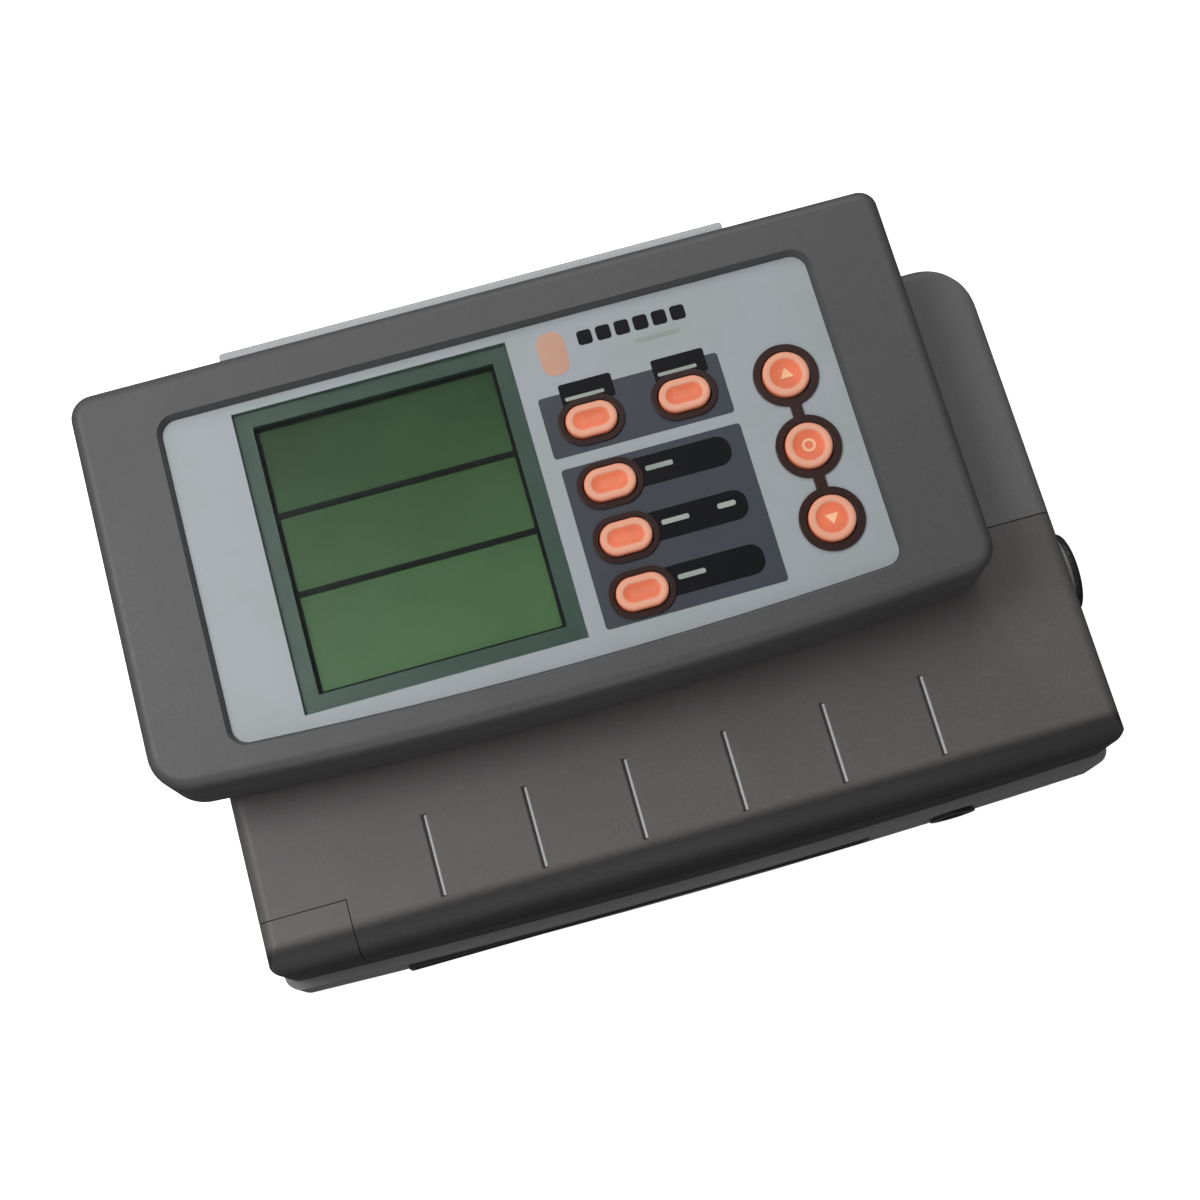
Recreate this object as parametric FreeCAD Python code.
import FreeCAD, Part
import math
import os

# Garden watering controller: a slim control unit with a display and eight keys,
# plugged onto a wall base that holds the valve terminals under a sliding cover.
# Millimetres. The part lies on its flat back: +Z comes out of the face,
# +Y points to its top edge on the wall, and the origin is the middle of the back.

V = FreeCAD.Vector

# ---- overall sizes ----
BASE_W = 188.6          # wall base, across
BASE_H = 118.6          # wall base, top edge to lowest point of the bowed lower end
BASE_D = 34.0           # wall base, back to front face
UNIT_W = 180.0          # control unit, across
UNIT_H = 92.1           # control unit, top edge to lowest point of the bowed lower edge
UNIT_D = 19.5           # control unit, back to bezel
BOW_R = 1096.0          # radius of the control unit's bowed lower edge
BASE_BOW_R = 2340.0     # radius of the base's bowed lower end
OVER_LEFT = 11.0        # control unit past the base's left side
OVER_TOP = 13.3         # control unit past the base's top edge
UNIT_GAP = 1.5          # air between the base's front and the control unit's back

# ---- walls, seams and clearances ----
WALL = 2.2              # all housing walls
BACK_WALL = 2.4         # flat back of the base
SEAM = 0.2              # seam between housing halves
SLIDE_GAP = 0.25        # each side of a sliding cover or door
KEY_GAP = 0.3           # round a key in its hole
PLUG_GAP = 0.3          # round the dust cap's stem
LEAST_R = 0.4           # smallest corner left by an inset outline

# ---- wall base ----
BASE_CORNERS = (6.0, 14.0, 3.5, 3.5)     # plan corners: top left, top right, low right, low left
END_R = 8.8             # rounding of the lower front edge
END_STEP = 2.0          # cover's end, set back from the base's lower end
EDGE_R = 3.0            # rounding of the other front edges
BASE_SPLIT = 14.0       # height of the seam between the base's back and front
COVER_TOP = 55.8        # terminal cover, length up from the base's lower end
COVER_SKIRT = 2.8       # depth of the cover's side edges
CORNER_W = 19.3         # corner cap, across
CORNER_H = 15.7         # corner cap, up from the lower end
GROOVES = 6             # one cable groove for each valve
GROOVE_PITCH = 22.05
GROOVE_LEN = 18.0
GROOVE_LOW = 10.6       # lower end of a groove above the base's lower end
GROOVE_W = 1.3
GROOVE_DEEP = 0.7
SLOT_X0 = 26.3          # cable slot, from the base's left side
SLOT_LEN = 106.0
SLOT_Z0 = 3.6
SLOT_H = 6.8
POWER_X = 152.0         # power cable entry, from the base's left side
POWER_Z = 8.2
POWER_BORE_R = 3.0
GROMMET_R = 4.6
GROMMET_LIP_R = 5.2
GROMMET_LIP = 0.6
GROMMET_SLACK = 0.25    # lips off the bowed wall

# ---- wall screws ----
WALL_HOLE_R = 2.25
WALL_HOLE_SIDE = 26.3   # from the base's sides
WALL_HOLE_TOP = 12.9    # from the top edge
WALL_HOLE_LOW = 11.7    # from the lower end
ACCESS_R = 4.5          # screwdriver holes in the deck

# ---- screws and posts ----
SCREW_R = 1.25
SCREW_HEAD_R = 2.6
SCREW_HEAD = 1.6
SCREW_CLEAR = 0.25
THREAD_GAP = 0.05       # round a screw in the hole it bites into
HEAD_SEAT = 0.8         # housing left under a sunk screw head
DRIVE_W = 2.6           # cross recess in a screw's head
DRIVE_T = 0.7
POST_R = 3.2
POST_SIDE = 34.0        # base posts, from the base's sides
POST_TOP = 6.8          # upper base posts, from the top edge
POST_LOW = 62.5         # lower base posts, up from the lower end
UNIT_POST_SIDE = 8.6    # unit posts, from the unit's sides
UNIT_POST_TOP = 8.4
UNIT_POST_LOW = 14.0

# ---- base electronics ----
BASE_PCB_LEFT = 24.0    # board edges, from the base's left, right, top and lower edges
BASE_PCB_RIGHT = 13.5
BASE_PCB_TOP = 20.0
BASE_PCB_LOW = 17.0
BASE_PCB_Z = 7.0
PCB_T = 1.6
STANDOFF_R = 2.6
STANDOFF_IN = 4.6       # standoffs, in from the board's corners
TERM_W = 12.0           # two-way valve terminal
TERM_H = 13.0
TERM_D = 14.0
TERM_LOW = 18.5         # terminals, up from the base's lower end
TERM_PITCH = 5.0
TERM_STEP_D = 3.5       # step along the terminal's front
WIRE_R = 1.5
WIRE_Z = 5.6            # wire entry above the board
WIRE_DEEP = 7.8
TERM_SCREW_R = 1.7
TERM_SCREW_Y = 8.6      # clamp screw, up from the terminal's lower side
TERM_SCREW_Z = 8.4      # tip of the clamp screw above the board
TERM_SCREW_LEN = 4.5
SLOT_T = 0.6            # slot in the clamp screw
SLOT_DEEP = 0.8
POWER_TERM_X = 161.6    # power terminal, from the base's left side

# ---- parts on the base's board; places are from the base's right and top edges ----
TRIAC_BACK = 6.0        # valve switches, behind the terminals
TRIAC_W = 10.0
TRIAC_T = 4.5
TRIAC_LIFT = 3.0
TRIAC_D = 9.0
TRIAC_LEGS = (-2.5, 0, 2.5)
TRIAC_LEG = (0.9, 0.6)
TAB_T = 1.25
TAB_D = 15.0
TAB_HOLE_R = 1.8
TAB_HOLE_Z = 15.0
RELAY_PLACE = (46.0, 34.0)
RELAY_SIZE = (15.0, 19.0, 15.0)
RELAY_EDGE_R = 0.8
CAN_PLACE = (30.0, 32.0)
CAN_R = 6.3
CAN_D = 20.0
CAN_NECK_R = 5.9
CAN_NECK = (2.2, 3.2)
RECTIFIER_PLACE = (30.0, 45.0)
RECTIFIER_SIZE = (15.0, 5.0, 10.0)
RECTIFIER_LIFT = 2.0
RECTIFIER_LEGS = (-5.4, -1.8, 1.8, 5.4)
RECTIFIER_LEG = (1.0, 0.8)
FUSE_X = 24.0           # from the base's right side
FUSE_BACK = 7.0         # behind the terminals
FUSE_LIFT = 5.0
FUSE_R = 2.6
FUSE_LEN = 20.0
FUSE_BASE_W = 7.0
FUSE_BASE_OUT = 1.5     # base past the fuse's ends
FUSE_SEAT = 0.3
CLIP_W = 3.0
CLIP_H = 6.6
CLIP_X = 7.5
CLIP_TOP = 1.5          # clips above the fuse's middle
POCKET_IN = 3.0         # hollow in the dock header's tower
POCKET_SIDE = 2.0
POCKET_Z = (8.0, 2.0)   # below the tower's top

# ---- sensor socket on the right side ----
SENSOR_Y = 44.0         # up from the base's lower end
SENSOR_Z = 21.0
COLLAR_R = 9.5
COLLAR_T = 1.0
SOCKET_R = 6.0
SOCKET_BORE_R = 4.2
SOCKET_DEEP = 11.0      # socket barrel behind the wall
SOCKET_END = 1.5        # closed end of the barrel
CAP_R = 9.2
CAP_T = 1.8
CAP_EDGE_R = 1.2
STEM_LEN = 9.0

# ---- control unit ----
UNIT_CORNERS = (5.0, 4.0, 6.0, 9.0)
UNIT_EDGE_R = 2.6       # rounding of the bezel's outer edge
UNIT_SPLIT = 7.5        # seam above the unit's back
BEZEL_LEFT = 18.0
BEZEL_RIGHT = 19.1
BEZEL_TOP = 10.4
BEZEL_LOW = 7.4
FASCIA_CORNER = 3.6
RECESS = 1.8            # fascia below the bezel's face
RECESS_FLARE = 0.8      # outward slope of the recess's wall
FASCIA_T = 1.0
SEAT_T = 2.0            # shelf under the fascia
LEDGE_LEN = 113.5
LEDGE_OUT = 3.5
LEDGE_Z0 = 8.5          # above the unit's back
LEDGE_T = 5.5
LEDGE_EDGE_R = 1.2
PAD_R = 5.0             # feet under the unit
PAD_IN = 22.0

# ---- display ----
LCD_W = 60.4
LCD_H = 67.6
LCD_LEFT = 15.2         # from the fascia's left edge
LCD_TOP = 2.2           # from the fascia's top edge
LCD_BORDER = 3.7
LCD_GLASS_T = 1.7
LENS_GAP = 0.15
GUIDE_T = 2.0           # backlight guide
STRIP_W = 2.6

# ---- keys ----
ROUND_R = 5.05
ROUND_PITCH = 16.55
ROUND_RIGHT = 11.6      # round keys, from the fascia's right edge
ROUND_TOP = 26.1        # highest round key, from the fascia's top edge
OVAL_W = 11.2
OVAL_H = 7.3
OVAL_LEFT = 13.2        # left oval keys, from the display's right edge
OVAL_STEP = 20.5        # between the two upper oval keys
OVAL_TOP = 24.4         # upper oval keys, from the fascia's top edge
OVAL_DROP = 14.6        # upper row to the first lower key
OVAL_PITCH = 12.3
KEY_PROUD = 1.4         # key above the fascia
KEY_TRAVEL = 1.0
KEY_EDGE_R = 0.9
FLANGE = 1.1            # flange round a key's foot
FLANGE_T = 1.0
RING = 2.0              # frame round a key
RING_T = 0.5
LINK_W = 2.5
OVAL_RING = 1.6

# ---- control unit electronics ----
UNIT_PCB_OUT = 2.4      # board past the fascia's sides
UNIT_PCB_TOP = 8.2      # board edges, from the unit's top and lower edges
UNIT_PCB_LOW = 8.6
UNIT_PCB_IN = 2.9       # posts, in from the board's edges
DOME_W = 6.0
DOME_T = 1.6
DOME_R = 1.6
DOCK_X = 77.0           # dock connector centre, from the unit's left side
DOCK_Y = 45.0           # from the unit's top edge
DOCK_W = 42.0
DOCK_H = 10.0
DOCK_REACH = 5.5        # socket below the unit's back
DOCK_GAP = 1.0
PINS = 12
PIN_PITCH = 3.2
PIN_R = 0.45
PIN_LEN = 6.5
CELL_R = 10.0
CELL_T = 3.2
CELL_X = 45.0           # coin cell centre, from the unit's left side
CELL_Y = 17.0           # from the unit's top edge
CELL_SLACK = 0.5        # round the cell in the rear shell
CELL_LIFT = 0.2         # cell above its door
CELL_EDGE = 0.4
CLIP_T = 0.4            # spring strap over the cell
CLIP_STRAP_W = 6.0
CLIP_LEG_OUT = 2.2      # legs of the strap past the cell
DOOR_W = 27.0
DOOR_LEN = 30.0
DOOR_T = 1.4
GRIPS = 4               # finger grooves in the door
GRIP_Y = 18.0
GRIP_PITCH = 2.0
GRIP_W = 0.8
GRIP_DEEP = 0.5
REAR_EDGE_R = 1.4       # rounding of the unit's back edge
SWITCH_SHARE = 0.7      # part of a key switch's height that is its square body

# ---- parts under the unit's board; places are from the display or the unit's right and top ----
CHIP_PLACE = (22.0, 62.0)
CHIP_W = 10.0
CHIP_Z = (1.4, 0.2)     # faces below the board
CHIP_LEGS = 8           # on each side
CHIP_LEG_PITCH = 1.1
CHIP_LEG_W = 0.4
CHIP_LEG_T = 0.5
CHIP_SPAN = 12.0
CRYSTAL_PLACE = (8.0, 62.0)
CRYSTAL_SIZE = (8.0, 3.4, 3.2)
SOUNDER_PLACE = (34.0, 30.0)
SOUNDER_R = 6.0
SOUNDER_D = 4.0
SOUNDER_HOLE_R = 1.0
SOUNDER_HOLE_D = 2.0

# ---- places worked out from the sizes ----
CAP_OUT = COLLAR_T + SEAM + CAP_T
SPAN_X = max(OVER_LEFT + BASE_W + CAP_OUT, UNIT_W)
SPAN_Y = max(BASE_H + OVER_TOP + LEDGE_OUT, UNIT_H + LEDGE_OUT)
UNIT_X0 = -SPAN_X / 2
UNIT_X1 = UNIT_X0 + UNIT_W
BASE_X0 = UNIT_X0 + OVER_LEFT
BASE_X1 = BASE_X0 + BASE_W
UNIT_Y1 = SPAN_Y / 2 - LEDGE_OUT
UNIT_Y0 = UNIT_Y1 - UNIT_H
BASE_Y1 = UNIT_Y1 - OVER_TOP
BASE_Y0 = BASE_Y1 - BASE_H
UNIT_Z0 = BASE_D + UNIT_GAP
UNIT_Z1 = UNIT_Z0 + UNIT_D
SEAM_Z = UNIT_Z0 + UNIT_SPLIT
FASCIA_Z1 = UNIT_Z1 - RECESS
FASCIA_Z0 = FASCIA_Z1 - FASCIA_T
SEAT_Z = FASCIA_Z0 - SEAT_T
FASCIA_X0 = UNIT_X0 + BEZEL_LEFT
FASCIA_X1 = UNIT_X1 - BEZEL_RIGHT
FASCIA_Y1 = UNIT_Y1 - BEZEL_TOP
FASCIA_Y0 = UNIT_Y0 + BEZEL_LOW
LCD_X0 = FASCIA_X0 + LCD_LEFT
LCD_X1 = LCD_X0 + LCD_W
LCD_Y1 = FASCIA_Y1 - LCD_TOP
LCD_Y0 = LCD_Y1 - LCD_H
COVER_Y1 = BASE_Y0 + COVER_TOP
COVER_Z0 = BASE_D - COVER_SKIRT
END_WALL = END_STEP + WALL
END_Y = BASE_Y0 + END_STEP + END_R + SLIDE_GAP
BASE_MID = (BASE_X0 + BASE_X1) / 2
LCD_Z1 = FASCIA_Z0 - LENS_GAP
LCD_GLASS_Z1 = SEAT_Z
LCD_GLASS_Z0 = LCD_GLASS_Z1 - LCD_GLASS_T
GUIDE_Z0 = LCD_GLASS_Z0 - GUIDE_T
KEY_FOOT = SEAT_Z - SEAM - FLANGE_T
UNIT_PCB_Z1 = KEY_FOOT - KEY_TRAVEL - SEAM - DOME_T
UNIT_PCB_Z0 = UNIT_PCB_Z1 - PCB_T
DOCK_XC = UNIT_X0 + DOCK_X
DOCK_YC = UNIT_Y1 - DOCK_Y
DOCK_Z0 = UNIT_Z0 - DOCK_REACH
CELL_XC = UNIT_X0 + CELL_X
CELL_YC = UNIT_Y1 - CELL_Y
SENSOR_YC = BASE_Y0 + SENSOR_Y
BASE_PCB_Z1 = BASE_PCB_Z + PCB_T
TERM_Y0 = BASE_Y0 + TERM_LOW

ROUND_KEYS = [(FASCIA_X1 - ROUND_RIGHT, FASCIA_Y1 - ROUND_TOP - i * ROUND_PITCH) for i in range(3)]
OVAL_X = LCD_X1 + OVAL_LEFT
OVAL_Y = FASCIA_Y1 - OVAL_TOP
OVAL_KEYS = [(OVAL_X, OVAL_Y), (OVAL_X + OVAL_STEP, OVAL_Y)]
OVAL_KEYS += [(OVAL_X, OVAL_Y - OVAL_DROP - i * OVAL_PITCH) for i in range(3)]

POSTS = [(x, y) for x in (BASE_X0 + POST_SIDE, BASE_X1 - POST_SIDE)
         for y in (BASE_Y1 - POST_TOP, BASE_Y0 + POST_LOW)]
WALL_HOLES = [(x, y) for x in (BASE_X0 + WALL_HOLE_SIDE, BASE_X1 - WALL_HOLE_SIDE)
              for y in (BASE_Y1 - WALL_HOLE_TOP, BASE_Y0 + WALL_HOLE_LOW)]
UNIT_POSTS = [(x, y) for x in (UNIT_X0 + UNIT_POST_SIDE, UNIT_X1 - UNIT_POST_SIDE)
              for y in (UNIT_Y1 - UNIT_POST_TOP, UNIT_Y0 + UNIT_POST_LOW)]
BASE_BOARD = (BASE_X0 + BASE_PCB_LEFT, BASE_X1 - BASE_PCB_RIGHT,
              BASE_Y0 + BASE_PCB_LOW, BASE_Y1 - BASE_PCB_TOP)
UNIT_BOARD = (FASCIA_X0 - UNIT_PCB_OUT, FASCIA_X1 + UNIT_PCB_OUT,
              UNIT_Y0 + UNIT_PCB_LOW, UNIT_Y1 - UNIT_PCB_TOP)


# ---- shape helpers ----
def box(x0, x1, y0, y1, z0, z1):
    return Part.makeBox(x1 - x0, y1 - y0, z1 - z0, V(x0, y0, z0))


def block(xc, yc, w, h, z0, z1):
    return box(xc - w / 2, xc + w / 2, yc - h / 2, yc + h / 2, z0, z1)


def rod(r, x, y, z0, z1):
    return Part.makeCylinder(r, z1 - z0, V(x, y, z0))


def rod_x(r, y, z, x0, x1):
    return Part.makeCylinder(r, x1 - x0, V(x0, y, z), V(1, 0, 0))


def rod_y(r, x, z, y0, y1):
    return Part.makeCylinder(r, y1 - y0, V(x, y0, z), V(0, 1, 0))


def line(a, b):
    return Part.LineSegment(a, b).toShape()


def arc_at(x, y, r, start, end):
    turns = (start, (start + end) / 2, end)
    return Part.Arc(*[V(x + r * math.cos(t), y + r * math.sin(t), 0) for t in turns]).toShape()


def join(edges):
    """Close a loop of edges by a line between each edge and the next where they don't meet."""
    chain = []
    for i, edge in enumerate(edges):
        chain.append(edge)
        end = edge.Vertexes[-1].Point
        start = edges[(i + 1) % len(edges)].Vertexes[0].Point
        if end.distanceToPoint(start) > 1e-6:
            chain.append(line(end, start))
    return Part.Wire(chain)


def bowed_plan(x0, x1, y0, y1, bow_r, corners):
    """Plan outline whose lower edge bows down to y0; corners are tl, tr, br, bl radii."""
    tl, tr, br, bl = corners
    xc = (x0 + x1) / 2
    yc = y0 + bow_r
    half = (x1 - x0) / 2
    low = []
    for side, r in ((1, br), (-1, bl)):
        drop = math.sqrt((bow_r - r) ** 2 - (half - r) ** 2)
        low.append((xc + side * (half - r), yc - drop, math.atan2(-drop, side * (half - r))))
    (rx, ry, ra), (lx, ly, la) = low
    bottom = Part.Arc(V(xc + bow_r * math.cos(la), yc + bow_r * math.sin(la), 0), V(xc, y0, 0),
                      V(xc + bow_r * math.cos(ra), yc + bow_r * math.sin(ra), 0)).toShape()
    return join([bottom,
                 arc_at(rx, ry, br, ra, 0),
                 arc_at(x1 - tr, y1 - tr, tr, 0, math.pi / 2),
                 arc_at(x0 + tl, y1 - tl, tl, math.pi / 2, math.pi),
                 arc_at(lx, ly, bl, -math.pi, la)])


def at_height(plan, z):
    plan.translate(V(0, 0, z))
    return plan


def prism(plan, z0, z1):
    solid = Part.Face(plan).extrude(V(0, 0, z1 - z0))
    solid.translate(V(0, 0, z0))
    return solid


def arch(a0, a1, z1, r0, r1, along, lo, hi):
    """Bar along X or Y on the back plane, its upper edges rounded by r0 and r1."""
    def at(a, z):
        return V(lo, a, z) if along == "x" else V(a, lo, z)
    k = 1 - math.sqrt(0.5)
    edges = [line(at(a0, 0), at(a1, 0)),
             line(at(a1, 0), at(a1, z1 - r1)),
             Part.Arc(at(a1, z1 - r1), at(a1 - k * r1, z1 - k * r1), at(a1 - r1, z1)).toShape(),
             line(at(a1 - r1, z1), at(a0 + r0, z1)),
             Part.Arc(at(a0 + r0, z1), at(a0 + k * r0, z1 - k * r0), at(a0, z1 - r0)).toShape(),
             line(at(a0, z1 - r0), at(a0, 0))]
    reach = V(hi - lo, 0, 0) if along == "x" else V(0, hi - lo, 0)
    return Part.Face(Part.Wire(edges)).extrude(reach)


def stadium(xc, yc, w, h, z0, z1):
    """Upright bar with half-round ends, longer across than up."""
    r = h / 2
    run = w / 2 - r
    plan = join([arc_at(xc + run, yc, r, -math.pi / 2, math.pi / 2),
                 arc_at(xc - run, yc, r, math.pi / 2, 3 * math.pi / 2)])
    return prism(plan, z0, z1)


def edges_at(solid, z):
    """Edges that lie flat at height z."""
    return [e for e in solid.Edges
            if abs(e.BoundBox.ZMin - z) < 1e-4 and abs(e.BoundBox.ZMax - z) < 1e-4]


def less(radii, inset):
    return [max(r - inset, LEAST_R) for r in radii]


def cut_all(solid, tools):
    return solid.cut(Part.makeCompound(tools))


def join_all(solid, others):
    return solid.fuse(others).removeSplitter()


def screw(x, y, head_z, tip_z):
    """Screw whose head starts at head_z and whose shank ends at tip_z above it."""
    head = rod(SCREW_HEAD_R, x, y, head_z, head_z + SCREW_HEAD)
    drive = block(x, y, DRIVE_W, DRIVE_T, head_z, head_z + DRIVE_T)
    drive = drive.fuse(block(x, y, DRIVE_T, DRIVE_W, head_z, head_z + DRIVE_T))
    shank = rod(SCREW_R, x, y, head_z + SCREW_HEAD, tip_z)
    return head.cut(drive).fuse(shank).removeSplitter()


# ---- wall base ----
def base_body(inset, step=0.0):
    """The base's outer form, or its inside when inset by a wall; step sets its lower end back."""
    x0, x1 = BASE_X0 + inset, BASE_X1 - inset
    y0, y1 = BASE_Y0 + step + inset, BASE_Y1 - inset
    top = BASE_D - inset
    end_r, edge_r = less((END_R, EDGE_R), inset)
    body = prism(bowed_plan(x0, x1, y0, y1, BASE_BOW_R - inset, less(BASE_CORNERS, inset)), 0, top)
    body = body.common(arch(y0, y1, top, end_r, edge_r, "x", x0 - 1, x1 + 1))
    return body.common(arch(x0, x1, top, edge_r, edge_r, "y", y0 - 1, y1 + 1))


def cover_zone(grow):
    """Space of the terminal cover: the front plate and the rounded lower end."""
    x0, x1 = BASE_X0 - 1, BASE_X1 + 1
    plate = box(x0, x1, BASE_Y0 - 1, COVER_Y1 + grow, COVER_Z0 - grow, BASE_D + 1)
    end = box(x0, x1, BASE_Y0 - 1, END_Y + grow, BASE_SPLIT + SEAM - grow, BASE_D + 1)
    return plate.fuse(end)


def corner_zone(shrink):
    """Space of the cap at the cover's lower left corner."""
    return box(BASE_X0 - 1, BASE_X0 + CORNER_W - shrink, BASE_Y0 - 1,
               BASE_Y0 + CORNER_H - shrink, BASE_SPLIT, BASE_D + 1)


def base_back():
    tray = base_body(0).common(box(BASE_X0, BASE_X1, BASE_Y0, BASE_Y1, 0, BASE_SPLIT))
    room = base_body(WALL, END_STEP)
    room = room.common(box(BASE_X0, BASE_X1, BASE_Y0, BASE_Y1, BACK_WALL, BASE_D))
    tray = tray.cut(room)
    posts = [rod(POST_R, x, y, BACK_WALL, BASE_SPLIT) for x, y in POSTS]
    posts += [rod(STANDOFF_R, x, y, BACK_WALL, BASE_PCB_Z) for x, y in board_corners(BASE_BOARD)]
    tray = join_all(tray, posts)
    holes = [rod(WALL_HOLE_R, x, y, -1, BACK_WALL + 1) for x, y in WALL_HOLES]
    for x, y in POSTS:
        holes.append(rod(SCREW_R + SCREW_CLEAR, x, y, -1, BASE_SPLIT + 1))
        holes.append(rod(SCREW_HEAD_R + SCREW_CLEAR, x, y, -1, SCREW_HEAD + HEAD_SEAT))
    holes += [rod(SCREW_R + THREAD_GAP, x, y, BACK_WALL, BASE_PCB_Z + 1)
              for x, y in board_corners(BASE_BOARD)]
    slot_x = BASE_X0 + SLOT_X0
    holes.append(box(slot_x, slot_x + SLOT_LEN, BASE_Y0 - 1, END_Y - EDGE_R, SLOT_Z0, SLOT_Z0 + SLOT_H))
    holes.append(rod_y(GROMMET_R, BASE_X0 + POWER_X, POWER_Z, BASE_Y0 - 1, END_Y - EDGE_R))
    return cut_all(tray, holes)


def base_front():
    shell = base_body(0).common(box(BASE_X0, BASE_X1, BASE_Y0, BASE_Y1, BASE_SPLIT + SEAM, BASE_D))
    shell = shell.cut(base_body(WALL)).cut(cover_zone(SLIDE_GAP))
    top = BASE_D - WALL
    posts = [rod(POST_R, x, y, BASE_SPLIT + SEAM, top) for x, y in POSTS]
    wall = box(BASE_X0 + WALL, BASE_X1 - WALL, COVER_Y1 + SLIDE_GAP, COVER_Y1 + SLIDE_GAP + WALL,
               BASE_SPLIT + SEAM, top)
    shell = join_all(shell, posts + [wall])
    holes = [rod(SCREW_R + THREAD_GAP, x, y, BASE_SPLIT, top - 1) for x, y in POSTS]
    holes += [rod(ACCESS_R, x, y, top - EDGE_R, BASE_D + 1) for x, y in WALL_HOLES if y > COVER_Y1]
    holes.append(block(DOCK_XC, DOCK_YC, DOCK_W + 4 * DOCK_GAP, DOCK_H + 4 * DOCK_GAP,
                       top - 1, BASE_D + 1))
    holes.append(rod_x(SOCKET_R, SENSOR_YC, SENSOR_Z, BASE_X1 - EDGE_R, BASE_X1 + 1))
    return cut_all(shell, holes)


def groove(i):
    """V groove in the cover's face."""
    x = BASE_MID + (i - (GROOVES - 1) / 2) * GROOVE_PITCH
    y0 = BASE_Y0 + GROOVE_LOW
    half = GROOVE_W / 2
    points = [V(x - half, y0, BASE_D + 0.01), V(x + half, y0, BASE_D + 0.01),
              V(x, y0, BASE_D - GROOVE_DEEP)]
    face = Part.Face(Part.makePolygon(points + points[:1]))
    return face.extrude(V(0, GROOVE_LEN, 0))


def cover_shell():
    return base_body(0, END_STEP).common(cover_zone(0)).cut(base_body(WALL, END_STEP))


def terminal_cover():
    shell = cover_shell().cut(corner_zone(0))
    return cut_all(shell, [groove(i) for i in range(GROOVES)])


def corner_cap():
    return cover_shell().common(corner_zone(SEAM))


def board_corners(board):
    x0, x1, y0, y1 = board
    return [(x, y) for x in (x0 + STANDOFF_IN, x1 - STANDOFF_IN)
            for y in (y0 + STANDOFF_IN, y1 - STANDOFF_IN)]


def base_pcb():
    x0, x1, y0, y1 = BASE_BOARD
    board = box(x0, x1, y0, y1, BASE_PCB_Z, BASE_PCB_Z1)
    holes = [rod(POST_R + DOCK_GAP, x, y, 0, BASE_D) for x, y in POSTS]
    holes += [rod(SCREW_R + SCREW_CLEAR, x, y, 0, BASE_D) for x, y in board_corners(BASE_BOARD)]
    return cut_all(board, holes)


def sunk_screws(places, head_z, tip_z):
    return Part.makeCompound([screw(x, y, head_z, tip_z) for x, y in places])


def board_screws(places, face_z, tip_z):
    """Screws with their heads on the board's front face, pointing to the back."""
    out = []
    for x, y in places:
        turned = screw(x, y, 0, SCREW_HEAD + face_z - tip_z)
        turned.rotate(V(x, y, 0), V(1, 0, 0), 180)
        turned.translate(V(0, 0, face_z + SCREW_HEAD))
        out.append(turned)
    return Part.makeCompound(out)


def terminal(xc):
    body = box(xc - TERM_W / 2, xc + TERM_W / 2, TERM_Y0, TERM_Y0 + TERM_H, BASE_PCB_Z1,
               BASE_PCB_Z1 + TERM_D)
    step = box(xc - TERM_W, xc + TERM_W, TERM_Y0 - 1, TERM_Y0 + TERM_H / 3,
               BASE_PCB_Z1 + TERM_D - TERM_STEP_D, BASE_PCB_Z1 + TERM_D + 1)
    holes = [step]
    for x in terminal_ways(xc):
        holes.append(rod_y(WIRE_R, x, BASE_PCB_Z1 + WIRE_Z, TERM_Y0 - 1, TERM_Y0 + WIRE_DEEP))
        holes.append(rod(TERM_SCREW_R + SCREW_CLEAR, x, TERM_Y0 + TERM_SCREW_Y,
                         BASE_PCB_Z1 + TERM_SCREW_Z, BASE_PCB_Z1 + TERM_D + 1))
    return cut_all(body, holes)


def terminal_ways(xc):
    return [xc - TERM_PITCH / 2, xc + TERM_PITCH / 2]


def valve_places():
    return [BASE_MID + (i - (GROOVES - 1) / 2) * GROOVE_PITCH for i in range(GROOVES)]


def terminal_screws():
    out = []
    for xc in valve_places() + [BASE_X0 + POWER_TERM_X]:
        for x in terminal_ways(xc):
            y = TERM_Y0 + TERM_SCREW_Y
            z0 = BASE_PCB_Z1 + TERM_SCREW_Z
            z1 = z0 + TERM_SCREW_LEN
            pin = rod(TERM_SCREW_R, x, y, z0, z1)
            out.append(pin.cut(block(x, y, 2 * TERM_SCREW_R, SLOT_T, z1 - SLOT_DEEP, z1 + 1)))
    return Part.makeCompound(out)


def board_block(place, size, lift):
    """Block on the base's board; place is from the base's right and top edges."""
    z0 = BASE_PCB_Z1 + lift
    return block(BASE_X1 - place[0], BASE_Y1 - place[1], size[0], size[1], z0, z0 + size[2])


def triacs():
    """One valve switch on its own small heat tab for each valve."""
    y = TERM_Y0 + TERM_H + TRIAC_BACK
    z0 = BASE_PCB_Z1 + TRIAC_LIFT
    back = y + TRIAC_T / 2
    out = []
    for x in valve_places():
        body = block(x, y, TRIAC_W, TRIAC_T, z0, z0 + TRIAC_D)
        tab = box(x - TRIAC_W / 2, x + TRIAC_W / 2, back, back + TAB_T, z0, z0 + TAB_D)
        tab = tab.cut(rod_y(TAB_HOLE_R, x, BASE_PCB_Z1 + TAB_HOLE_Z, y, back + 2 * TAB_T))
        legs = [block(x + dx, y, *TRIAC_LEG, BASE_PCB_Z1, z0) for dx in TRIAC_LEGS]
        out.append(join_all(body, [tab] + legs))
    return Part.makeCompound(out)


def pump_relay():
    case = board_block(RELAY_PLACE, RELAY_SIZE, 0)
    return case.makeFillet(RELAY_EDGE_R, edges_at(case, BASE_PCB_Z1 + RELAY_SIZE[2]))


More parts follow.
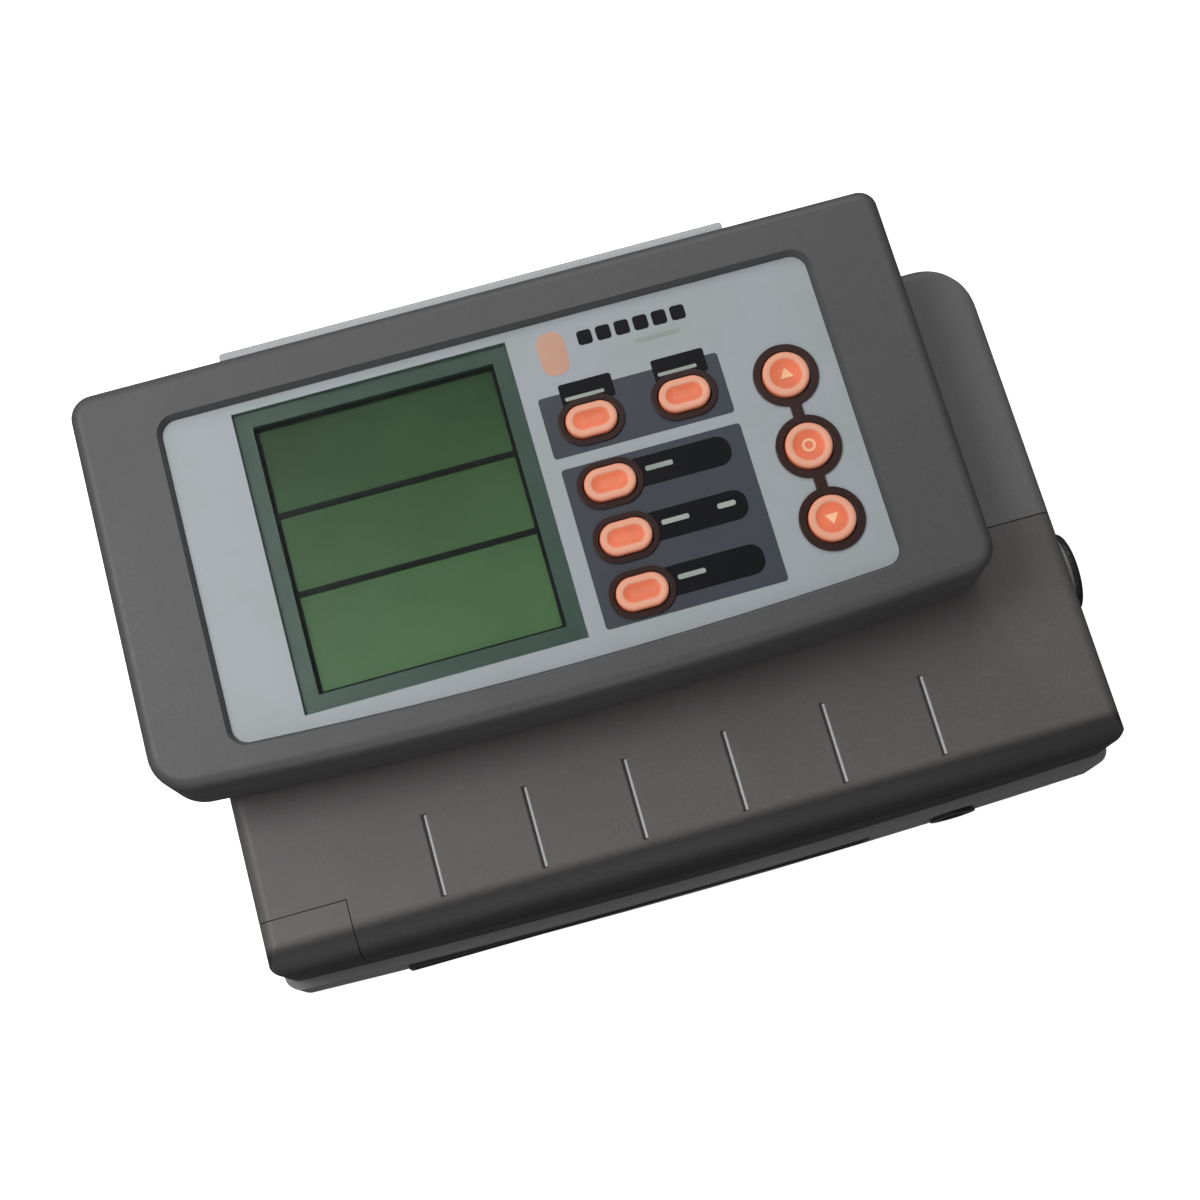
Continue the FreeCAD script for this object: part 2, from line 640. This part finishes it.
def capacitor():
    x, y, z = BASE_X1 - CAN_PLACE[0], BASE_Y1 - CAN_PLACE[1], BASE_PCB_Z1
    low, high = CAN_NECK
    ring = rod(CAN_R + 1, x, y, z + low, z + high).cut(rod(CAN_NECK_R, x, y, z, z + CAN_D))
    return rod(CAN_R, x, y, z, z + CAN_D).cut(ring)


def rectifier():
    body = board_block(RECTIFIER_PLACE, RECTIFIER_SIZE, RECTIFIER_LIFT)
    right, top = RECTIFIER_PLACE
    legs = [board_block((right - dx, top), (*RECTIFIER_LEG, RECTIFIER_LIFT), 0)
            for dx in RECTIFIER_LEGS]
    return join_all(body, legs)


def fuse_place():
    return BASE_X1 - FUSE_X, TERM_Y0 + TERM_H + FUSE_BACK, BASE_PCB_Z1 + FUSE_LIFT


def fuse_holder():
    x, y, z = fuse_place()
    seat = z - FUSE_R - FUSE_SEAT
    base = block(x, y, FUSE_LEN + 2 * FUSE_BASE_OUT, FUSE_BASE_W, BASE_PCB_Z1, seat)
    clips = [block(x + dx, y, CLIP_W, CLIP_H, seat, z + CLIP_TOP) for dx in (-CLIP_X, CLIP_X)]
    return join_all(base, clips).cut(rod_x(FUSE_R, y, z, x - FUSE_LEN, x + FUSE_LEN))


def fuse():
    x, y, z = fuse_place()
    return rod_x(FUSE_R, y, z, x - FUSE_LEN / 2, x + FUSE_LEN / 2)


def dock_header():
    """Tower that lifts the dock pins from the base's board to the deck."""
    top = DOCK_Z0 - DOCK_GAP / 2
    tower = block(DOCK_XC, DOCK_YC, DOCK_W + 2 * DOCK_GAP, DOCK_H, BASE_PCB_Z1, top)
    pocket = block(DOCK_XC, DOCK_YC, DOCK_W - 2 * POCKET_IN, DOCK_H - 2 * POCKET_SIDE,
                   top - POCKET_Z[0], top - POCKET_Z[1])
    return tower.cut(pocket)


def pin_places():
    return [DOCK_XC + (i - (PINS - 1) / 2) * PIN_PITCH for i in range(PINS)]


def dock_pins():
    top = DOCK_Z0 - DOCK_GAP / 2
    out = []
    for x in pin_places():
        pin = rod(PIN_R, x, DOCK_YC, top, top + PIN_LEN)
        out.append(pin.makeChamfer(PIN_R / 3, edges_at(pin, top + PIN_LEN)))
    return Part.makeCompound(out)


def power_grommet():
    x = BASE_X0 + POWER_X
    y0 = end_face_y(x)
    outside, inside = y0 - GROMMET_SLACK, y0 + END_WALL + GROMMET_SLACK
    ring = rod_y(GROMMET_R, x, POWER_Z, outside, inside)
    lips = [rod_y(GROMMET_LIP_R, x, POWER_Z, outside - GROMMET_LIP, outside),
            rod_y(GROMMET_LIP_R, x, POWER_Z, inside, inside + GROMMET_LIP)]
    bore = rod_y(POWER_BORE_R, x, POWER_Z, outside - WALL, inside + WALL)
    return join_all(ring, lips).cut(bore)


def end_face_y(x):
    """Outer face of the bowed lower end at x."""
    return BASE_Y0 + BASE_BOW_R - math.sqrt(BASE_BOW_R ** 2 - (x - BASE_MID) ** 2)


def sensor_socket():
    """Jack for a rain sensor: collar outside the wall, hollow barrel behind it."""
    collar = rod_x(COLLAR_R, SENSOR_YC, SENSOR_Z, BASE_X1, BASE_X1 + COLLAR_T)
    barrel = rod_x(SOCKET_R, SENSOR_YC, SENSOR_Z, BASE_X1 - SOCKET_DEEP, BASE_X1 + COLLAR_T)
    bore = rod_x(SOCKET_BORE_R, SENSOR_YC, SENSOR_Z, BASE_X1 - SOCKET_DEEP + SOCKET_END,
                 BASE_X1 + COLLAR_T + 1)
    return join_all(collar, [barrel]).cut(bore)


def sensor_cap():
    """Rubber dust cap with a stem that fills the jack."""
    x0 = BASE_X1 + COLLAR_T + SEAM
    head = rod_x(CAP_R, SENSOR_YC, SENSOR_Z, x0, x0 + CAP_T)
    rim = [e for e in head.Edges if abs(e.BoundBox.XMin - x0 - CAP_T) < 1e-4]
    head = head.makeFillet(CAP_EDGE_R, rim)
    return join_all(head, [rod_x(SOCKET_BORE_R - PLUG_GAP, SENSOR_YC, SENSOR_Z, x0 - STEM_LEN, x0)])


# ---- control unit ----
def unit_plan(inset):
    return bowed_plan(UNIT_X0 + inset, UNIT_X1 - inset, UNIT_Y0 + inset, UNIT_Y1 - inset,
                      BOW_R - inset, less(UNIT_CORNERS, inset))


def fascia_plan(grow):
    return bowed_plan(FASCIA_X0 - grow, FASCIA_X1 + grow, FASCIA_Y0 - grow, FASCIA_Y1 + grow,
                      BOW_R + grow, [max(FASCIA_CORNER + grow, LEAST_R)] * 4)


def round_openings(r, z0, z1):
    return [rod(r, x, y, z0, z1) for x, y in ROUND_KEYS]


def oval_openings(grow, z0, z1):
    return [stadium(x, y, OVAL_W + 2 * grow, OVAL_H + 2 * grow, z0, z1) for x, y in OVAL_KEYS]


def key_openings(z0, z1):
    return round_openings(ROUND_R + KEY_GAP, z0, z1) + oval_openings(KEY_GAP, z0, z1)


def lcd_block(grow, z0, z1):
    return box(LCD_X0 - grow, LCD_X1 + grow, LCD_Y0 - grow, LCD_Y1 + grow, z0, z1)


def unit_board_posts():
    x0, x1, y0, y1 = UNIT_BOARD
    return [(x, y) for x in (x0 + UNIT_PCB_IN, x1 - UNIT_PCB_IN)
            for y in (y0 + UNIT_PCB_IN, y1 - UNIT_PCB_IN)]


def front_shell():
    shell = prism(unit_plan(0), SEAM_Z + SEAM, UNIT_Z1)
    shell = shell.makeFillet(UNIT_EDGE_R, edges_at(shell, UNIT_Z1))
    shell = shell.cut(prism(unit_plan(WALL), SEAM_Z, UNIT_Z1 - WALL))
    seat = prism(fascia_plan(WALL), SEAT_Z, UNIT_Z1 - WALL)
    posts = [rod(POST_R, x, y, SEAM_Z + SEAM, UNIT_Z1 - WALL) for x, y in UNIT_POSTS]
    posts += [rod(STANDOFF_R, x, y, UNIT_PCB_Z1, SEAT_Z + SEAT_T) for x, y in unit_board_posts()]
    shell = join_all(shell, [seat] + posts)
    flare_out = RECESS_FLARE * (RECESS + 1) / RECESS
    flare = Part.makeLoft([at_height(fascia_plan(0), FASCIA_Z1),
                           at_height(fascia_plan(flare_out), UNIT_Z1 + 1)], True, True)
    holes = [prism(fascia_plan(0), FASCIA_Z0, FASCIA_Z1 + 0.1), flare]
    holes.append(lcd_block(0, SEAT_Z - 1, UNIT_Z1))
    holes += key_openings(SEAT_Z - 1, UNIT_Z1)
    bite = SCREW_R + THREAD_GAP
    holes += [rod(bite, x, y, SEAM_Z, UNIT_Z1 - WALL - 1) for x, y in UNIT_POSTS]
    holes += [rod(bite, x, y, UNIT_PCB_Z1 - 1, SEAT_Z + 0.8) for x, y in unit_board_posts()]
    return cut_all(shell, holes)


def rear_shell():
    shell = prism(unit_plan(0), UNIT_Z0, SEAM_Z)
    shell = shell.makeFillet(REAR_EDGE_R, edges_at(shell, UNIT_Z0))
    shell = shell.cut(prism(unit_plan(WALL), UNIT_Z0 + WALL, SEAM_Z + 1))
    posts = [rod(POST_R, x, y, UNIT_Z0 + 1, SEAM_Z) for x, y in UNIT_POSTS]
    pads = [rod(PAD_R, x, y, BASE_D + 0.1, UNIT_Z0 + 1) for x, y in pad_places()]
    shell = join_all(shell, posts + pads)
    holes = [rod(SCREW_R + SCREW_CLEAR, x, y, UNIT_Z0 - 1, SEAM_Z + 1) for x, y in UNIT_POSTS]
    holes += [rod(SCREW_HEAD_R + SCREW_CLEAR, x, y, UNIT_Z0 - 1, UNIT_Z0 + SCREW_HEAD + HEAD_SEAT)
              for x, y in UNIT_POSTS]
    holes.append(block(DOCK_XC, DOCK_YC, DOCK_W + DOCK_GAP, DOCK_H + DOCK_GAP,
                       UNIT_Z0 - 1, UNIT_Z0 + WALL + 1))
    holes.append(box(CELL_XC - DOOR_W / 2 - SLIDE_GAP, CELL_XC + DOOR_W / 2 + SLIDE_GAP,
                     UNIT_Y1 - DOOR_LEN - SLIDE_GAP, UNIT_Y1 + 1,
                     UNIT_Z0 - 1, UNIT_Z0 + DOOR_T + SLIDE_GAP))
    holes.append(rod(CELL_R + CELL_SLACK, CELL_XC, CELL_YC, UNIT_Z0, UNIT_Z0 + WALL + 1))
    return cut_all(shell, holes)


def pad_places():
    left = max(UNIT_X0, BASE_X0) + PAD_IN
    right = min(UNIT_X1, BASE_X1) - PAD_IN
    return [(x, y) for x in (left, right) for y in (COVER_Y1 + PAD_IN / 2, BASE_Y1 - PAD_IN)]


def grip_ledge():
    xc = (UNIT_X0 + UNIT_X1) / 2
    z0 = UNIT_Z0 + LEDGE_Z0
    bar = box(xc - LEDGE_LEN / 2, xc + LEDGE_LEN / 2, UNIT_Y1, UNIT_Y1 + LEDGE_OUT, z0, z0 + LEDGE_T)
    outer = [e for e in bar.Edges if e.BoundBox.YMin > UNIT_Y1 + LEDGE_OUT - 1e-4]
    return bar.makeFillet(LEDGE_EDGE_R, outer)


def fascia():
    plate = prism(fascia_plan(-0.1), FASCIA_Z0, FASCIA_Z1)
    return cut_all(plate, [lcd_block(0, FASCIA_Z0 - 1, FASCIA_Z1 + 1)]
                   + key_openings(FASCIA_Z0 - 1, FASCIA_Z1 + 1))


def display_window():
    return lcd_block(-0.1, FASCIA_Z0, FASCIA_Z1)


def lcd_frame():
    ring = lcd_block(-0.1, SEAT_Z, LCD_Z1)
    return ring.cut(lcd_block(-LCD_BORDER, SEAT_Z - 1, LCD_Z1 + 1))


def lcd_glass():
    return lcd_block(-LCD_BORDER / 2, LCD_GLASS_Z0, LCD_GLASS_Z1)


def backlight_guide():
    return lcd_block(-LCD_BORDER, GUIDE_Z0, LCD_GLASS_Z0)


def contact_strips():
    """Rubber strips that carry the segment signals from board to glass."""
    edge = LCD_BORDER / 2
    strips = [box(LCD_X0 + edge, LCD_X1 - edge, LCD_Y1 - edge - STRIP_W / 2, LCD_Y1 - edge,
                  UNIT_PCB_Z1, LCD_GLASS_Z0),
              box(LCD_X0 + edge, LCD_X1 - edge, LCD_Y0 + edge, LCD_Y0 + edge + STRIP_W / 2,
                  UNIT_PCB_Z1, LCD_GLASS_Z0)]
    return Part.makeCompound(strips)


def round_key_frame():
    """Three rings joined by a narrow link."""
    rings = round_openings(ROUND_R + RING, FASCIA_Z1, FASCIA_Z1 + RING_T)
    x = ROUND_KEYS[0][0]
    link = box(x - LINK_W / 2, x + LINK_W / 2, ROUND_KEYS[-1][1], ROUND_KEYS[0][1],
               FASCIA_Z1, FASCIA_Z1 + RING_T)
    frame = join_all(link, rings)
    return cut_all(frame, round_openings(ROUND_R + KEY_GAP, FASCIA_Z1 - 1, UNIT_Z1))


def oval_key_frames():
    frames = []
    for outer, hole in zip(oval_openings(OVAL_RING, FASCIA_Z1, FASCIA_Z1 + RING_T),
                           oval_openings(KEY_GAP, FASCIA_Z1 - 1, UNIT_Z1)):
        frames.append(outer.cut(hole))
    return Part.makeCompound(frames)


def finish_key(cap, foot):
    top = FASCIA_Z1 + KEY_PROUD
    return join_all(cap.makeFillet(KEY_EDGE_R, edges_at(cap, top)), [foot])


def round_key(x, y):
    return finish_key(rod(ROUND_R, x, y, KEY_FOOT, FASCIA_Z1 + KEY_PROUD),
                      rod(ROUND_R + FLANGE, x, y, KEY_FOOT, KEY_FOOT + FLANGE_T))


def oval_key(x, y):
    return finish_key(stadium(x, y, OVAL_W, OVAL_H, KEY_FOOT, FASCIA_Z1 + KEY_PROUD),
                      stadium(x, y, OVAL_W + 2 * FLANGE, OVAL_H + 2 * FLANGE,
                              KEY_FOOT, KEY_FOOT + FLANGE_T))


def main_pcb():
    x0, x1, y0, y1 = UNIT_BOARD
    board = box(x0, x1, y0, y1, UNIT_PCB_Z0, UNIT_PCB_Z1)
    return cut_all(board, [rod(SCREW_R + SCREW_CLEAR, x, y, UNIT_PCB_Z0 - 1, UNIT_PCB_Z1 + 1)
                           for x, y in unit_board_posts()])


def key_switches():
    out = []
    for x, y in ROUND_KEYS + OVAL_KEYS:
        body = block(x, y, DOME_W, DOME_W, UNIT_PCB_Z1, UNIT_PCB_Z1 + DOME_T * SWITCH_SHARE)
        plunger = rod(DOME_R, x, y, UNIT_PCB_Z1, UNIT_PCB_Z1 + DOME_T)
        out.append(join_all(body, [plunger]))
    return Part.makeCompound(out)


def processor_chip():
    x, y = LCD_X1 + CHIP_PLACE[0], UNIT_Y1 - CHIP_PLACE[1]
    body = block(x, y, CHIP_W, CHIP_W, UNIT_PCB_Z0 - CHIP_Z[0], UNIT_PCB_Z0 - CHIP_Z[1])
    legs = []
    for i in range(CHIP_LEGS):
        d = (i - (CHIP_LEGS - 1) / 2) * CHIP_LEG_PITCH
        foot = UNIT_PCB_Z0 - CHIP_LEG_T
        legs.append(block(x + d, y, CHIP_LEG_W, CHIP_SPAN, foot, UNIT_PCB_Z0))
        legs.append(block(x, y + d, CHIP_SPAN, CHIP_LEG_W, foot, UNIT_PCB_Z0))
    return join_all(body, legs)


def clock_crystal():
    length, width, height = CRYSTAL_SIZE
    return stadium(LCD_X1 + CRYSTAL_PLACE[0], UNIT_Y1 - CRYSTAL_PLACE[1], length, width,
                   UNIT_PCB_Z0 - height, UNIT_PCB_Z0)


def sounder():
    x, y, z = UNIT_X1 - SOUNDER_PLACE[0], UNIT_Y1 - SOUNDER_PLACE[1], UNIT_PCB_Z0 - SOUNDER_D
    can = rod(SOUNDER_R, x, y, z, UNIT_PCB_Z0)
    return can.cut(rod(SOUNDER_HOLE_R, x, y, z - 1, z + SOUNDER_HOLE_D))


def cell_z0():
    return UNIT_Z0 + DOOR_T + SLIDE_GAP + CELL_LIFT


def coin_cell():
    z0 = cell_z0()
    cell = rod(CELL_R, CELL_XC, CELL_YC, z0, z0 + CELL_T)
    return cell.makeChamfer(CELL_EDGE, edges_at(cell, z0) + edges_at(cell, z0 + CELL_T))


def battery_clip():
    """Spring strap that presses the cell to the board."""
    z0 = cell_z0() + CELL_T
    reach = CELL_R + CLIP_LEG_OUT
    strap = block(CELL_XC, CELL_YC, 2 * reach, CLIP_STRAP_W, z0, z0 + CLIP_T)
    legs = [block(CELL_XC + side * reach, CELL_YC, CLIP_T, CLIP_STRAP_W, z0, UNIT_PCB_Z0)
            for side in (-1, 1)]
    return join_all(strap, legs)


def battery_door():
    y0 = UNIT_Y1 - DOOR_LEN
    door = box(CELL_XC - DOOR_W / 2, CELL_XC + DOOR_W / 2, y0, UNIT_Y1, UNIT_Z0, UNIT_Z0 + DOOR_T)
    grips = [block(CELL_XC, y0 + GRIP_Y + i * GRIP_PITCH, DOOR_W / 2, GRIP_W,
                   UNIT_Z0 - 1, UNIT_Z0 + GRIP_DEEP) for i in range(GRIPS)]
    return cut_all(door, grips)


def dock_socket():
    """Socket that hangs from the unit's board through its back."""
    body = block(DOCK_XC, DOCK_YC, DOCK_W, DOCK_H, DOCK_Z0, UNIT_PCB_Z0)
    way = block(DOCK_XC, DOCK_YC, PINS * PIN_PITCH + 0.6, 4 * PIN_R + 0.6,
                DOCK_Z0 - 1, DOCK_Z0 + PIN_LEN)
    return body.cut(way)


NODES = {
    "base_back": base_back,
    "base_front": base_front,
    "terminal_cover": terminal_cover,
    "corner_cap": corner_cap,
    "base_screws": lambda: sunk_screws(POSTS, HEAD_SEAT, BASE_D - WALL - 4),
    "base_pcb": base_pcb,
    "base_pcb_screws": lambda: board_screws(board_corners(BASE_BOARD), BASE_PCB_Z1, BACK_WALL + 0.5),
    "valve_terminals": lambda: Part.makeCompound([terminal(x) for x in valve_places()]),
    "power_terminal": lambda: terminal(BASE_X0 + POWER_TERM_X),
    "terminal_screws": terminal_screws,
    "valve_triacs": triacs,
    "pump_relay": pump_relay,
    "capacitor": capacitor,
    "rectifier": rectifier,
    "fuse_holder": fuse_holder,
    "fuse": fuse,
    "dock_header": dock_header,
    "dock_pins": dock_pins,
    "power_grommet": power_grommet,
    "sensor_socket": sensor_socket,
    "sensor_cap": sensor_cap,
    "front_shell": front_shell,
    "rear_shell": rear_shell,
    "grip_ledge": grip_ledge,
    "fascia": fascia,
    "display_window": display_window,
    "lcd_frame": lcd_frame,
    "lcd_glass": lcd_glass,
    "backlight_guide": backlight_guide,
    "contact_strips": contact_strips,
    "round_key_frame": round_key_frame,
    "oval_key_frames": oval_key_frames,
    "main_pcb": main_pcb,
    "key_switches": key_switches,
    "processor_chip": processor_chip,
    "clock_crystal": clock_crystal,
    "sounder": sounder,
    "coin_cell": coin_cell,
    "battery_clip": battery_clip,
    "battery_door": battery_door,
    "dock_socket": dock_socket,
    "unit_screws": lambda: sunk_screws(UNIT_POSTS, UNIT_Z0 + HEAD_SEAT, UNIT_Z1 - WALL - 2),
    "unit_pcb_screws": lambda: sunk_screws(unit_board_posts(), UNIT_PCB_Z0 - SCREW_HEAD,
                                           UNIT_PCB_Z1 + 2.5),
}


def main():
    os.makedirs("parts", exist_ok=True)
    for name, make in NODES.items():
        make().exportStep(f"parts/{name}.step")
    for i, (x, y) in enumerate(ROUND_KEYS, 1):
        round_key(x, y).exportStep(f"parts/round_key_{i}.step")
    for i, (x, y) in enumerate(OVAL_KEYS, 1):
        oval_key(x, y).exportStep(f"parts/oval_key_{i}.step")


main()
